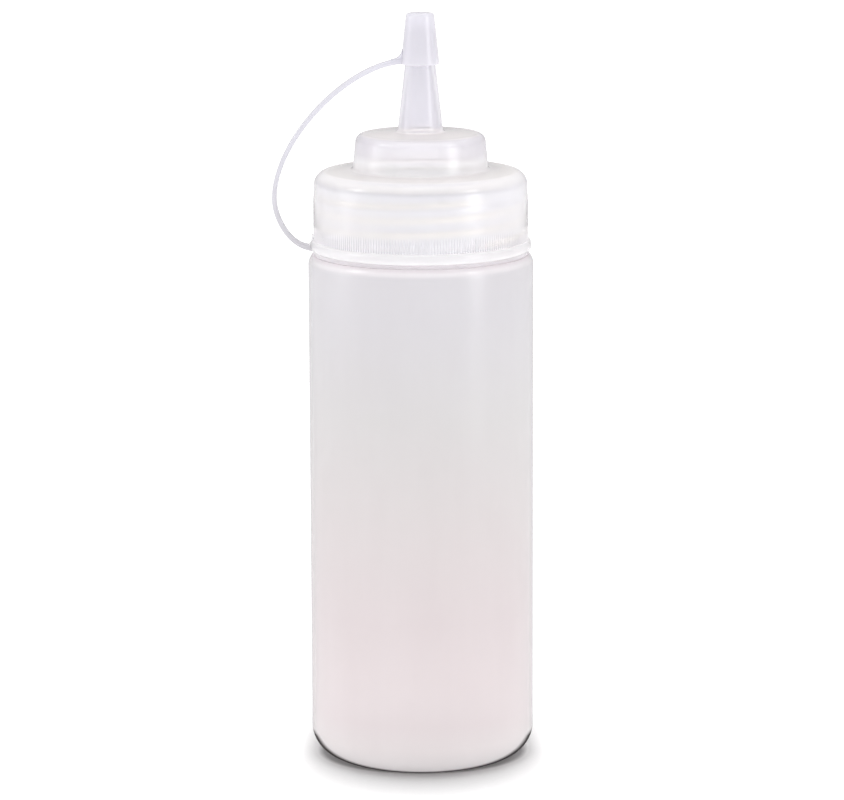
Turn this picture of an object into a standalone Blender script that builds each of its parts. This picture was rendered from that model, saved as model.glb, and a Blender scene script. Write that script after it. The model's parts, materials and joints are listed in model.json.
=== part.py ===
"""Squeeze bottle with a screw lid, a cone nozzle and a tip cap on a tether.

Metres, +Z up. The bottle's axis is Z, and the bottle stands on z = 0. The tether leaves the
lid towards -X and bends in the plane y = 0.
"""

import math

import bmesh
import bpy
from mathutils import Vector

SEGMENTS = 48
MERGE = 0.00001
GAP = 0.0003

# Bottle
BODY_R = 0.0296
BODY_WALL = 0.0010
BASE_CORNER_R = 0.0077
BASE_RECESS = 0.0008
BASE_RECESS_R = 0.0180
BASE_FOOT_R = 0.0196
BASE_THICKNESS = 0.0014
SHOULDER_ROUND_R = 0.0045
SHOULDER_ROUND_Z = 0.1322
SHOULDER_TOP = 0.13515
NECK_R = 0.02505
NECK_WALL = 0.0015
NECK_FILLET = 0.0008

# Screw thread, right-handed: a turn to the left seen from above lifts the lid by one pitch
PITCH = 0.0038
THREAD_HEIGHT = 0.00125
THREAD_ROOT = 0.0020
THREAD_CREST = 0.0010
THREAD_SUNK = 0.0004
THREAD_STEPS_PER_TURN = 36
THREAD_FADE_DEG = 25
NECK_THREAD_START = 0.1401
NECK_THREAD_START_DEG = -60
NECK_THREAD_TURNS = 3.05
LID_THREAD_DROP = 0.0016
LID_THREAD_LATER_DEG = 180
LID_THREAD_TURNS = 2.0

# Lid
SKIRT_R = 0.0280
RIB_BAND_R = 0.0282
RIB_BAND_TOP = 0.1500
SKIRT_INNER_R = 0.0266
SKIRT_FOOT = 0.1355
SKIRT_EDGE_R = 0.0036
SHELF_TOP = 0.1571
SHELF_RISE = 0.0004
SHELF_THICKNESS = 0.0015
DRUM_BASE_R = 0.0177
DRUM_TOP_R = 0.0171
DRUM_EDGE_R = 0.0023
DRUM_TOP = 0.1669
DRUM_RISE = 0.0004
DRUM_WALL = 0.0014
NOZZLE_BASE_R = 0.0059
NOZZLE_TIP_R = 0.00288
NOZZLE_TIP = 0.1948
NOZZLE_FILLET = 0.0009
ORIFICE_R = 0.0014
NOZZLE_BORE_R = 0.0047

# Seal washer between the neck's rim and the lid's underside
WASHER_THICKNESS = 0.0010
WASHER_INNER_R = 0.0226
WASHER_OUTER_R = 0.0262

# Tether ring, snapped into a groove at the skirt's foot
RING_BOTTOM = 0.1362
RING_TOP = 0.1390
RING_CREST_Z = 0.1375
RING_INNER_R = 0.0278
RING_R = 0.0291
GROOVE_R = RING_INNER_R - GAP

# Tip cap
CAP_RIM = 0.1850
CAP_TOP = 0.1985
CAP_RIM_R = 0.0050
CAP_TOP_R = 0.0037
CAP_EDGE_R = 0.0007
CAP_END_THICKNESS = 0.0012
CAP_CLEARANCE = 0.0004

# Strap: two Bezier arcs in the plane y = 0, which meet upright at its leftmost point
STRAP_WIDTH = 0.0030
STRAP_THICKNESS = 0.00125
STRAP_AT_RING = Vector((-0.0290, 0.1368))
STRAP_LEFTMOST = Vector((-0.0384, 0.1496))
STRAP_AT_CAP = Vector((-0.0049, 0.1858))
STRAP_HANDLES = (0.00604, 0.00426, 0.01523, 0.01475)
STRAP_DROP_AT_RING_DEG = 6.0
STRAP_DROP_AT_CAP_DEG = 4.8
STRAP_JOINTS = 7
STRAP_STUB = 0.0016

# Webs where the strap meets the ring and the cap
WEB_HEIGHT = 0.0012
WEB_THICKNESS = 0.0004
CAP_WEB_R = 0.0015
CAP_WEB_STEPS = 4


def clear_scene():
    """Remove every object, so the script can be run again in the same file."""
    for obj in list(bpy.data.objects):
        bpy.data.objects.remove(obj, do_unlink=True)


def new_collection(name):
    collection = bpy.data.collections.new(name)
    bpy.context.scene.collection.children.link(collection)
    return collection


def material(name, colour, roughness):
    """A moulded polyethylene, by its colour and roughness."""
    mat = bpy.data.materials.new(name)
    mat.use_nodes = True
    shader = mat.node_tree.nodes["Principled BSDF"]
    shader.inputs["Base Color"].default_value = (*colour, 1.0)
    shader.inputs["Roughness"].default_value = roughness
    shader.inputs["Metallic"].default_value = 0.0
    mat.diffuse_color = (*colour, 1.0)
    return mat


def arc(centre_r, centre_z, radius, start_deg, end_deg, steps):
    """Profile points (r, z) along an arc, both ends included."""
    points = []
    for i in range(steps + 1):
        angle = math.radians(start_deg + (end_deg - start_deg) * i / steps)
        points.append((centre_r + radius * math.cos(angle), centre_z + radius * math.sin(angle)))
    return points


def lathe(name, profile, closed, mat, collection, origin_z=0.0):
    """Turn a profile of (r, z) points about Z with a Screw modifier."""
    verts = [(r, 0.0, z - origin_z) for r, z in profile]
    edges = [(i, i + 1) for i in range(len(verts) - 1)]
    if closed:
        edges.append((len(verts) - 1, 0))
    mesh = bpy.data.meshes.new(name)
    mesh.from_pydata(verts, edges, [])
    obj = bpy.data.objects.new(name, mesh)
    obj.location.z = origin_z
    collection.objects.link(obj)
    screw = obj.modifiers.new("Turn", "SCREW")
    screw.axis = "Z"
    screw.steps = SEGMENTS
    screw.render_steps = SEGMENTS
    screw.use_merge_vertices = True
    screw.merge_threshold = MERGE
    screw.use_smooth_shade = True
    mesh.materials.append(mat)
    return obj


def hide_cutter(obj):
    obj.hide_render = True
    obj.display_type = "WIRE"


def join_solid(target, other):
    """Unite another solid with the target by a Boolean modifier."""
    boolean = target.modifiers.new("Join " + other.name, "BOOLEAN")
    boolean.operation = "UNION"
    boolean.solver = "EXACT"
    boolean.object = other
    hide_cutter(other)


def thread_ridge(name, wall_r, outward, start_z, start_deg, turns, collection):
    """A helical ridge of trapezoid section on a wall, low at both ends.

    outward is 1 for a ridge on the outside of a neck and -1 for one inside a lid.
    """
    steps = round(turns * THREAD_STEPS_PER_TURN)
    bm = bmesh.new()
    rings = []
    for i in range(steps + 1):
        turned = 360.0 * turns * i / steps
        to_end = min(turned, 360.0 * turns - turned)
        height = THREAD_HEIGHT * min(1.0, 0.3 + 0.7 * to_end / THREAD_FADE_DEG)
        root = wall_r - outward * THREAD_SUNK
        crest = wall_r + outward * height
        z = start_z + PITCH * turned / 360.0
        angle = math.radians(start_deg + turned)
        section = (
            (root, z - THREAD_ROOT / 2),
            (crest, z - THREAD_CREST / 2),
            (crest, z + THREAD_CREST / 2),
            (root, z + THREAD_ROOT / 2),
        )
        rings.append([bm.verts.new((r * math.cos(angle), r * math.sin(angle), h)) for r, h in section])
    for a, b in zip(rings[:-1], rings[1:]):
        for k in range(4):
            bm.faces.new((a[k], a[(k + 1) % 4], b[(k + 1) % 4], b[k]))
    bm.faces.new(rings[0])
    bm.faces.new(rings[-1])
    bmesh.ops.recalc_face_normals(bm, faces=bm.faces)
    mesh = bpy.data.meshes.new(name)
    bm.to_mesh(mesh)
    bm.free()
    obj = bpy.data.objects.new(name, mesh)
    collection.objects.link(obj)
    return obj


def bottle_profile():
    """Inside from the middle of the floor up to the rim, then down the outside."""
    inner_r = BODY_R - BODY_WALL
    inner_corner = BASE_CORNER_R - BODY_WALL
    floor = BASE_RECESS + BASE_THICKNESS
    neck_inner = NECK_R - NECK_WALL
    shoulder_r = BODY_R - SHOULDER_ROUND_R
    climb = math.degrees(math.asin((SHOULDER_TOP - SHOULDER_ROUND_Z) / SHOULDER_ROUND_R))
    inner_round = SHOULDER_ROUND_R - BODY_WALL
    points = [(0.0, floor)]
    points += arc(inner_r - inner_corner, floor + inner_corner, inner_corner, -90, 0, 6)
    points += arc(shoulder_r, SHOULDER_ROUND_Z, inner_round, 0, climb, 3)
    points.append((neck_inner, SHOULDER_TOP - BODY_WALL * 0.9))
    points.append((neck_inner, neck_top() - NECK_FILLET))
    points.append((neck_inner + NECK_FILLET / 2, neck_top()))
    points.append((NECK_R - NECK_FILLET / 2, neck_top()))
    points.append((NECK_R, neck_top() - NECK_FILLET))
    points += arc(NECK_R + NECK_FILLET, SHOULDER_TOP + NECK_FILLET, NECK_FILLET, 180, 270, 3)
    points += arc(shoulder_r, SHOULDER_ROUND_Z, SHOULDER_ROUND_R, climb, 0, 4)
    points += arc(BODY_R - BASE_CORNER_R, BASE_CORNER_R, BASE_CORNER_R, 0, -90, 8)
    points.append((BASE_FOOT_R, 0.0))
    points.append((BASE_RECESS_R, BASE_RECESS))
    points.append((0.0, BASE_RECESS))
    return points


def shelf_underside():
    return SHELF_TOP - SHELF_THICKNESS


def neck_top():
    return shelf_underside() - WASHER_THICKNESS - 2 * GAP


def nozzle_r(z):
    """The nozzle's outer radius at a height."""
    share = (NOZZLE_TIP - z) / (NOZZLE_TIP - DRUM_TOP)
    return NOZZLE_TIP_R + (NOZZLE_BASE_R - NOZZLE_TIP_R) * share


def lid_profile():
    """Outside from the nozzle's tip down to the skirt's foot, then up the inside."""
    foot_z = DRUM_TOP + DRUM_RISE
    shelf_root = SHELF_TOP + SHELF_RISE
    points = [(ORIFICE_R, NOZZLE_TIP), (NOZZLE_TIP_R, NOZZLE_TIP)]
    points += arc(nozzle_r(foot_z) + NOZZLE_FILLET, foot_z + NOZZLE_FILLET, NOZZLE_FILLET, 187, 268, 4)
    points += arc(DRUM_TOP_R - DRUM_EDGE_R, DRUM_TOP - DRUM_EDGE_R, DRUM_EDGE_R, 88, 3, 5)
    points += arc(DRUM_BASE_R + GAP, shelf_root + GAP, GAP, 180, 270, 2)
    points += arc(SKIRT_R - SKIRT_EDGE_R, SHELF_TOP - SKIRT_EDGE_R, SKIRT_EDGE_R, 87, 0, 7)
    points.append((SKIRT_R, RIB_BAND_TOP + GAP))
    points.append((RIB_BAND_R, RIB_BAND_TOP))
    points.append((RIB_BAND_R, RING_TOP + GAP))
    points.append((GROOVE_R, RING_TOP + GAP))
    points.append((GROOVE_R, RING_BOTTOM - GAP))
    points.append((RIB_BAND_R, RING_BOTTOM - GAP))
    points.append((RIB_BAND_R, SKIRT_FOOT))
    points.append((SKIRT_INNER_R, SKIRT_FOOT))
    points.append((SKIRT_INNER_R, shelf_underside()))
    points.append((DRUM_BASE_R - DRUM_WALL, shelf_underside()))
    inner_top = DRUM_TOP - DRUM_WALL
    points += arc(DRUM_TOP_R - DRUM_EDGE_R, DRUM_TOP - DRUM_EDGE_R, DRUM_EDGE_R - DRUM_WALL, 0, 90, 3)
    points.append((NOZZLE_BORE_R, inner_top))
    return points


def lid_solid(mat, parts, cutters):
    lid = lathe("lid", lid_profile(), True, mat, parts)
    start_deg = NECK_THREAD_START_DEG + LID_THREAD_LATER_DEG
    start_z = NECK_THREAD_START - LID_THREAD_DROP + PITCH * LID_THREAD_LATER_DEG / 360.0
    ridge = thread_ridge(
        "lid_thread", SKIRT_INNER_R, -1, start_z, start_deg, LID_THREAD_TURNS, cutters
    )
    join_solid(lid, ridge)
    return lid


def bottle_solid(mat, parts, cutters):
    bottle = lathe("bottle", bottle_profile(), False, mat, parts)
    ridge = thread_ridge(
        "neck_thread", NECK_R, 1, NECK_THREAD_START, NECK_THREAD_START_DEG, NECK_THREAD_TURNS, cutters
    )
    join_solid(bottle, ridge)
    return bottle


def washer_solid(mat, parts):
    bottom = neck_top() + GAP
    top = bottom + WASHER_THICKNESS
    profile = [
        (WASHER_INNER_R, top),
        (WASHER_OUTER_R, top),
        (WASHER_OUTER_R, bottom),
        (WASHER_INNER_R, bottom),
    ]
    return lathe("seal_washer", profile, True, mat, parts, bottom)


def bezier(points, t):
    a, b, c, d = points
    s = 1.0 - t
    return a * s**3 + b * 3 * s * s * t + c * 3 * s * t * t + d * t**3


def strap_midline(samples=400):
    """Points (x, z) along the strap's middle, evenly spaced from the ring to the cap."""
    ring_deg = math.radians(STRAP_DROP_AT_RING_DEG)
    cap_deg = math.radians(STRAP_DROP_AT_CAP_DEG)
    from_ring, down, up, to_cap = STRAP_HANDLES
    low = (
        STRAP_AT_RING,
        STRAP_AT_RING + Vector((-math.cos(ring_deg), math.sin(ring_deg))) * from_ring,
        STRAP_LEFTMOST + Vector((0.0, -down)),
        STRAP_LEFTMOST,
    )
    high = (
        STRAP_LEFTMOST,
        STRAP_LEFTMOST + Vector((0.0, up)),
        STRAP_AT_CAP + Vector((-math.cos(cap_deg), -math.sin(cap_deg))) * to_cap,
        STRAP_AT_CAP,
    )
    raw = [bezier(low, i / samples) for i in range(samples)]
    raw += [bezier(high, i / samples) for i in range(samples + 1)]
    return raw


def walk(points, distances):
    """Points at the given distances along a polyline, with the direction there."""
    found = []
    for distance in distances:
        left = distance
        for a, b in zip(points[:-1], points[1:]):
            step = (b - a).length
            if left <= step:
                break
            left -= step
        direction = (b - a).normalized()
        found.append((a + direction * left, direction))
    return found


def length_of(points):
    return sum((b - a).length for a, b in zip(points[:-1], points[1:]))


def joint_distances(midline):
    """How far along the strap each bending joint is, from the ring to the cap."""
    span = length_of(midline) - 2 * STRAP_STUB
    return [STRAP_STUB + span * i / (STRAP_JOINTS - 1) for i in range(STRAP_JOINTS)]


def sideways(direction):
    """The unit vector to the left of a direction in the plane."""
    return Vector((-direction.y, direction.x))


def half_round(centre, direction, steps=4):
    """Points round a strap end that faces along direction, from its left side to its right."""
    points = []
    for i in range(steps + 1):
        turn = math.pi * (0.5 - i / steps)
        side = sideways(direction) * math.sin(turn)
        points.append(centre + (side + direction * math.cos(turn)) * STRAP_THICKNESS / 2)
    return points


def strap_outline(midline, start, end, start_is_joint, end_is_joint, steps=4):
    """The outline of a length of strap. An end at a joint is half-round and stops short of it."""
    half = STRAP_THICKNESS / 2
    back = half + GAP / 2
    first = start + back * start_is_joint
    last = end - back * end_is_joint
    stations = walk(midline, [first + (last - first) * i / steps for i in range(steps + 1)])
    outline = [point + sideways(direction) * half for point, direction in stations]
    if end_is_joint:
        outline += half_round(*stations[-1])[1:-1]
    outline += [point - sideways(direction) * half for point, direction in reversed(stations)]
    if start_is_joint:
        point, direction = stations[0]
        outline += half_round(point, -direction)[1:-1]
    return outline


def flat_piece(name, outline, origin, mat, collection):
    """A flat outline in the plane y = 0, given thickness along Y, as a mesh."""
    curve = bpy.data.curves.new(name, "CURVE")
    curve.dimensions = "2D"
    curve.fill_mode = "BOTH"
    curve.extrude = STRAP_WIDTH / 2
    spline = curve.splines.new("POLY")
    spline.points.add(len(outline) - 1)
    for point, place in zip(spline.points, outline):
        point.co = (place.x - origin.x, place.y - origin.y, 0.0, 1.0)
    spline.use_cyclic_u = True
    drawn = bpy.data.objects.new(name + "_curve", curve)
    drawn.location = (origin.x, 0.0, origin.y)
    drawn.rotation_euler = (math.pi / 2, 0.0, 0.0)
    collection.objects.link(drawn)
    return curve_to_mesh(drawn, name, mat, collection)


def curve_to_mesh(drawn, name, mat, collection):
    bpy.context.view_layer.update()
    evaluated = drawn.evaluated_get(bpy.context.evaluated_depsgraph_get())
    mesh = bpy.data.meshes.new_from_object(evaluated)
    mesh.name = name
    bm = bmesh.new()
    bm.from_mesh(mesh)
    bmesh.ops.remove_doubles(bm, verts=bm.verts, dist=MERGE)
    bmesh.ops.recalc_face_normals(bm, faces=bm.faces)
    bm.to_mesh(mesh)
    bm.free()
    mesh.materials.clear()
    mesh.materials.append(mat)
    obj = bpy.data.objects.new(name, mesh)
    obj.matrix_world = drawn.matrix_world.copy()
    collection.objects.link(obj)
    bpy.data.objects.remove(drawn, do_unlink=True)
    return obj


def ring_solid(midline, joints, mat, parts, cutters):
    """The tether's ring, with the strap's root and the web that stands on it."""
    bead = RING_R - RING_INNER_R
    profile = [
        (RING_INNER_R, RING_TOP),
        (RING_INNER_R + bead * 0.4, RING_TOP),
        (RING_R - bead * 0.2, RING_CREST_Z + bead * 0.6),
        (RING_R, RING_CREST_Z),
        (RING_R - bead * 0.2, RING_CREST_Z - bead * 0.6),
        (RING_INNER_R + bead * 0.4, RING_BOTTOM),
        (RING_INNER_R, RING_BOTTOM),
    ]
    ring = lathe("tether_ring", profile, True, mat, parts, RING_CREST_Z)
    outline = strap_outline(midline, 0.0, joints[0], False, True, 2)
    wall = -(RIB_BAND_R + GAP)
    web = [
        Vector((wall, RING_CREST_Z - bead * 0.6)),
        Vector((wall, RING_TOP + WEB_HEIGHT)),
        Vector((wall - WEB_THICKNESS, RING_TOP + WEB_HEIGHT)),
        Vector((wall - WEB_THICKNESS * 2, RING_CREST_Z + bead * 0.4)),
    ]
    outer = [point for point in outline if point.x < wall - WEB_THICKNESS * 2]
    root = flat_piece("ring_root", web + outer[::-1], STRAP_AT_RING, mat, cutters)
    join_solid(ring, root)
    return ring


def cap_solid(midline, joints, mat, parts, cutters):
    """The tip cap, a closed cone with the strap's end and its web on the rim."""
    inner_top = CAP_TOP - CAP_END_THICKNESS
    profile = [(0.0, CAP_TOP)]
    profile += arc(CAP_TOP_R - CAP_EDGE_R, CAP_TOP - CAP_EDGE_R, CAP_EDGE_R, 90, 0, 3)
    profile += [(CAP_RIM_R, CAP_RIM), (nozzle_r(CAP_RIM) + CAP_CLEARANCE, CAP_RIM)]
    profile += [(nozzle_r(inner_top) + CAP_CLEARANCE, inner_top), (0.0, inner_top)]
    cap = lathe("tip_cap", profile, False, mat, parts, CAP_RIM)
    outline = strap_outline(midline, joints[-1], length_of(midline), True, False, 2)
    centre = Vector((-CAP_RIM_R - CAP_WEB_R, CAP_RIM + STRAP_THICKNESS + CAP_WEB_R))
    web = []
    for i in range(CAP_WEB_STEPS + 1):
        turn = math.radians(-85.0 + 85.0 * i / CAP_WEB_STEPS)
        web.append(centre + Vector((math.cos(turn), math.sin(turn))) * CAP_WEB_R)
    inside = -(nozzle_r(CAP_RIM) + CAP_CLEARANCE + GAP)
    web.append(Vector((inside, web[-1].y)))
    web.append(Vector((inside, CAP_RIM)))
    outer = [point for point in outline if point.x < centre.x]
    end = flat_piece("cap_end", outer + web, STRAP_AT_CAP, mat, cutters)
    join_solid(cap, end)
    return cap


def strap_links(midline, joints, mat, parts):
    """The strap as rigid lengths, each with its origin on the joint nearer the ring."""
    links = []
    for i, (start, end) in enumerate(zip(joints[:-1], joints[1:]), 1):
        outline = strap_outline(midline, start, end, True, True)
        pivot = walk(midline, [start])[0][0]
        links.append(flat_piece(f"strap_link_{i}", outline, pivot, mat, parts))
    return links


def build():
    clear_scene()
    parts = new_collection("squeeze_bottle")
    cutters = new_collection("cutters")
    bottle_mat = material("bottle_polyethylene", (0.82, 0.80, 0.82), 0.42)
    lid_mat = material("lid_polyethylene", (0.88, 0.87, 0.89), 0.38)
    tether_mat = material("tether_polyethylene", (0.86, 0.85, 0.90), 0.35)
    washer_mat = material("washer_foam", (0.92, 0.92, 0.90), 0.70)
    midline = strap_midline()
    joints = joint_distances(midline)
    bottle_solid(bottle_mat, parts, cutters)
    washer_solid(washer_mat, parts)
    lid_solid(lid_mat, parts, cutters)
    ring_solid(midline, joints, tether_mat, parts, cutters)
    strap_links(midline, joints, tether_mat, parts)
    cap_solid(midline, joints, tether_mat, parts, cutters)


build()
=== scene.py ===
import json
import math

import bmesh
import bpy
import numpy as np
from mathutils import Matrix, Vector


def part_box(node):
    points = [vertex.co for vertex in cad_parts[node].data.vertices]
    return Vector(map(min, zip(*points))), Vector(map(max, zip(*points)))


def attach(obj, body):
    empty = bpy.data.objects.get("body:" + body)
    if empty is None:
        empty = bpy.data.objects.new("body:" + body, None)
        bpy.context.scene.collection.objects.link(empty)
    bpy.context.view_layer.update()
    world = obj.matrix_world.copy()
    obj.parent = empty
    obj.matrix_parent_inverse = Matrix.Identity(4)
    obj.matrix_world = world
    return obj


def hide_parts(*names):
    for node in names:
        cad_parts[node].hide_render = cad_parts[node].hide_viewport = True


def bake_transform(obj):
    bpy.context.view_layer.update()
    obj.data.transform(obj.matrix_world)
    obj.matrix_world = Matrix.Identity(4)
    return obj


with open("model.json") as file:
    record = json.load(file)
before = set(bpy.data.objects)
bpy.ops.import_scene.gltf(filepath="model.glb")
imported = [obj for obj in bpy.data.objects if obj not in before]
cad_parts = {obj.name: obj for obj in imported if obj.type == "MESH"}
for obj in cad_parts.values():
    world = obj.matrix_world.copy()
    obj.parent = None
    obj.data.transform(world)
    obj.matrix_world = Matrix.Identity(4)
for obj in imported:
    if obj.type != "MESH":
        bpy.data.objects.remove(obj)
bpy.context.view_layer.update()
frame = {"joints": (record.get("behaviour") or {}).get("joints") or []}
JOINTS = {j["name"]: j for j in frame["joints"]}

_, BOTTLE_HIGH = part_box("bottle")
WASHER_LOW, WASHER_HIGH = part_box("seal_washer")
LID_LOW, LID_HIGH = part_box("lid")
_, RING_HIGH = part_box("tether_ring")
CAP_LOW, CAP_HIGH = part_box("tip_cap")

MM = 0.001

# Turned pieces: columns round each, and the steps between rows on their straight stretches.
# The lid has one column on each rib and one between.
BOTTLE_COLUMNS = 192
RIBS = 236
LID_COLUMNS = 2 * RIBS
CAP_COLUMNS = 96
THREAD_ROW = 0.22 * MM
BODY_ROW = 8.0 * MM
BODY_INNER_ROW = 12.0 * MM
BASE_ROW = 4.5 * MM
SKIRT_ROW = 2.2 * MM
DRUM_ROW = 2.5 * MM
DRUM_INNER_ROW = 3.0 * MM
NOZZLE_ROW = 5.0 * MM
CAP_ROW = 2.2 * MM
CAP_INNER_ROW = 2.5 * MM
SAME_WALL = 0.001 * MM

# Bottle
BODY_R = BOTTLE_HIGH.x
NECK_TOP = BOTTLE_HIGH.z
BODY_WALL = 1.0 * MM
BASE_CORNER_R = 7.7 * MM
BASE_RECESS = 0.8 * MM
BASE_RECESS_R = 18.0 * MM
BASE_FOOT_R = 19.6 * MM
BASE_THICKNESS = 1.4 * MM
SHOULDER_ROUND_R = 4.5 * MM
SHOULDER_ROUND_Z = 132.2 * MM
SHOULDER_TOP = 135.15 * MM
NECK_R = 25.05 * MM
NECK_WALL = 1.5 * MM
NECK_FILLET = 0.8 * MM
PARTING_LINE_HEIGHT = 0.05 * MM
PARTING_LINE_DEG = 0.45
PINCH_HALF_LENGTH = 0.86 * BASE_RECESS_R
PINCH_HALF_WIDTH = 0.45 * MM
PINCH_HEIGHT = 0.35 * MM
PINCH_SUNK = 0.03 * MM

# Screw thread
PITCH = 3.8 * MM
THREAD_HEIGHT = 1.2 * MM
THREAD_ROOT = 2.1 * MM
THREAD_CREST = 0.7 * MM
THREAD_FADE_DEG = 25.0
NECK_THREAD = {"start_z": 140.1 * MM, "start_deg": -60.0, "turns": 3.05}
LID_THREAD = {"start_z": 140.4 * MM, "start_deg": 120.0, "turns": 2.0}

# Lid
LID_FOOT = LID_LOW.z
NOZZLE_TIP = LID_HIGH.z
RIB_BAND_R = LID_HIGH.x
RIB_DEPTH = 0.16 * MM
RIB_BAND_TOP = 149.6 * MM
RIB_BAND_RAMP = 2.2 * MM
RIB_BAND_RAMP_STEPS = 6
RIB_FADE = 0.75
SKIRT_R = 28.0 * MM
SKIRT_INNER_R = 26.6 * MM
SKIRT_EDGE_R = 3.6 * MM
SHELF_TOP = 157.1 * MM
SHELF_RISE = 0.4 * MM
SHELF_THICKNESS = 1.5 * MM
SHELF_ROOT_FILLET = 0.9 * MM
DRUM_BASE_R = 17.7 * MM
DRUM_TOP_R = 17.1 * MM
DRUM_EDGE_R = 2.3 * MM
DRUM_TOP = 166.9 * MM
DRUM_RISE = 0.4 * MM
DRUM_WALL = 1.4 * MM
NOZZLE_BASE_R = 5.9 * MM
NOZZLE_TIP_R = 2.88 * MM
NOZZLE_FILLET = 0.9 * MM
NOZZLE_EDGE_R = 0.3 * MM
NOZZLE_WALL = 1.2 * MM
ORIFICE_R = 1.4 * MM
LID_INNER_ROUND_R = 0.5 * MM

# Seal washer
WASHER_INNER_R = 22.6 * MM
WASHER_EDGE_R = 0.25 * MM

# Tether ring and its groove. A lip of the lid follows the ring's underside.
RING_R = RING_HIGH.x
RING_INNER_R = 27.8 * MM
RING_BOTTOM = 136.2 * MM
RING_TOP = 139.0 * MM
RING_CREST_Z = 137.5 * MM
GROOVE_GAP = 0.3 * MM
RING_GAP = 0.05 * MM
LIP_EDGE = 0.04 * MM
BEAD_FULLNESS = 0.75
FOOT_DROP = 0.2 * MM
RING_WEB_HEIGHT = 1.2 * MM
RING_WEB_TOP_THICKNESS = 0.35 * MM
RING_WEB_SPREAD = 0.9 * MM
RING_WEB_DROP = 2.9 * MM
RING_WEB_SUNK = 0.5 * MM

# Tip cap
CAP_RIM = CAP_LOW.z
CAP_TOP = CAP_HIGH.z
CAP_RIM_R = 5.0 * MM
CAP_TOP_R = 3.7 * MM
CAP_EDGE_R = 0.9 * MM
CAP_RIM_EDGE_R = 0.3 * MM
CAP_END_THICKNESS = 1.2 * MM
CAP_CLEARANCE = 0.4 * MM
CAP_CROWN = 0.15 * MM
CAP_LEAD_IN = 0.1 * MM
CAP_LEAD_IN_HEIGHT = 0.2 * MM
CAP_WEB_FILLET = 2.6 * MM
CAP_WEB_SUNK = 0.25 * MM
CAP_WEB_FOOT_INSIDE = 0.1 * MM
CAP_WEB_FOOT_OUTSIDE = 0.25 * MM

# Strap
STRAP_WIDTH = 3.0 * MM
STRAP_THICKNESS = 1.22 * MM
STRAP_CORNER_R = 0.35 * MM
STRAP_AT_RING = Vector((-29.0, 136.8)) * MM
STRAP_LEFTMOST = Vector((-38.4, 149.6)) * MM
STRAP_AT_CAP = Vector((-4.9, 185.8)) * MM
STRAP_HANDLES = (6.04 * MM, 4.26 * MM, 15.23 * MM, 14.75 * MM)
STRAP_DROP_AT_RING_DEG = 6.0
STRAP_DROP_AT_CAP_DEG = 4.8
STRAP_STATIONS = 20
STRAP_INTO_RING = 0.6 * MM
STRAP_INTO_CAP = 0.4 * MM
DIRECTION_REACH = 0.3 * MM
STRAP_JOINTS = ["cap_pull"] + [f"strap_bend_{i}" for i in range(1, 6)] + ["cap_tilt"]
RING_FLARE = {"length": 5.0 * MM, "width": 0.25, "thickness": 0.18}
CAP_FLARE = {"length": 3.0 * MM, "width": 0.1, "thickness": 0.08}
GATE_MARK = Vector((-36.2, 158.2)) * MM
GATE_MARK_R = 0.9 * MM
GATE_MARK_DEPTH = 0.35 * MM

# Camera
SENSOR = 36.0 * MM
LENS = 175.2 * MM
CAMERA_PLACE = Vector((0.0, -1.0681, 0.3025))
CAMERA_PITCH_DEG = 10.954
CAMERA_ROLL_DEG = -0.213
CAMERA_SHIFT = 0.0007
CAMERA_CLIP = (0.05, 30.0)

# Light. The tent's opening, behind the camera, is darker than its walls, and its roof is
# brighter than its foot. The lights above are in watts and metres.
TENT_OPENING = 0.95
TENT_WALL = 0.90
TENT_FOOT = 0.9
TENT_ROOF = 1.1
TENT_COLOUR = (1.0, 0.995, 1.0, 1.0)
FILL = {"place": (0.0, 0.2, 1.3), "width": 1.5, "height": 1.5, "power": 6.0}
KEY = {"place": (0.0, 0.05, 1.3), "width": 0.32, "height": 0.2, "power": 0.5}
LIGHTS_AIM_AT = (0.0, 0.0, 0.05)

# Softboxes: degrees round from the camera's side, height of the middle, width and height
# in metres, and glare in watts per square metre
SIDE_BOXES = {
    "right_high_box": (61.0, 0.78, 0.18, 0.3, 24.0),
    "left_high_box": (-76.0, 0.74, 0.24, 0.3, 24.0),
    "right_low_box": (58.0, 0.16, 0.32, 0.5, 12.0),
    "left_low_box": (-84.0, 0.16, 0.34, 0.5, 5.5),
}
SIDE_BOXES_AIM_AT = (0.0, 0.0, 0.13)

# Floor: glowing paper with a painted shade round the foot, longer towards the front, and a
# painted dark contact shadow where the foot touches it
FLOOR_DROP = 0.05 * MM
FLOOR_RADII = (0.06, 0.3, 1.5, 9.0)
FLOOR_CORNERS = 24
SHADE_START_SIDE = 29.0 * MM
SHADE_START_FRONT = 25.0 * MM
SHADE_END_SIDE = 35.5 * MM
SHADE_END_FRONT = 58.0 * MM
SHADE_DEEP_SIDE = 0.74
SHADE_DEEP_FRONT = 0.6
SHADE_BEHIND = 0.35
SHADE_BACK_START = 20.0 * MM
SHADE_BACK_END = 55.0 * MM
PAPER_TONE = 0.85
# Painted dark contact shadow along the foot: its radius at the side and the front, its fade and its
# depth
CONTACT_SHADOW_SIDE = 26.5 * MM
CONTACT_SHADOW_FRONT = 22.5 * MM
CONTACT_SHADOW_FADE = 1.7 * MM
CONTACT_SHADOW_DEEP = 0.5
FLOOR_GLOW = 0.4

# Plastic. What is seen through a thin wall is shifted little, so the wall's own index is low.
PLASTIC_IOR = 1.5
WALL_IOR = 1.12
FACING_POWER = 5.0
# Colour of the painted shade at the outline of upright walls
OUTLINE_SHADE_TONE = (150, 148, 150)
SHEEN_TONE = (255, 255, 255)
EDGE_SHEEN_TONE = (205, 204, 206)
MOTTLE_TONE = (250, 249, 249)
# Colour of the painted shade line under the foot's rounded corner, where it meets the floor
FOOT_SHADE_TONE = (38, 32, 32)

# Noise scales, in features per metre
CLOUDS = 38.0
WAVES = 55.0
STREAKS = 160.0
FOAM_PATCHES = 300.0
WEAR = 420.0
PAPER_SPECKLE = 900.0
FOAM_CELLS = 2200.0
GRAIN = 2600.0


# ---------------------------------------------------------------- geometry


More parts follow.
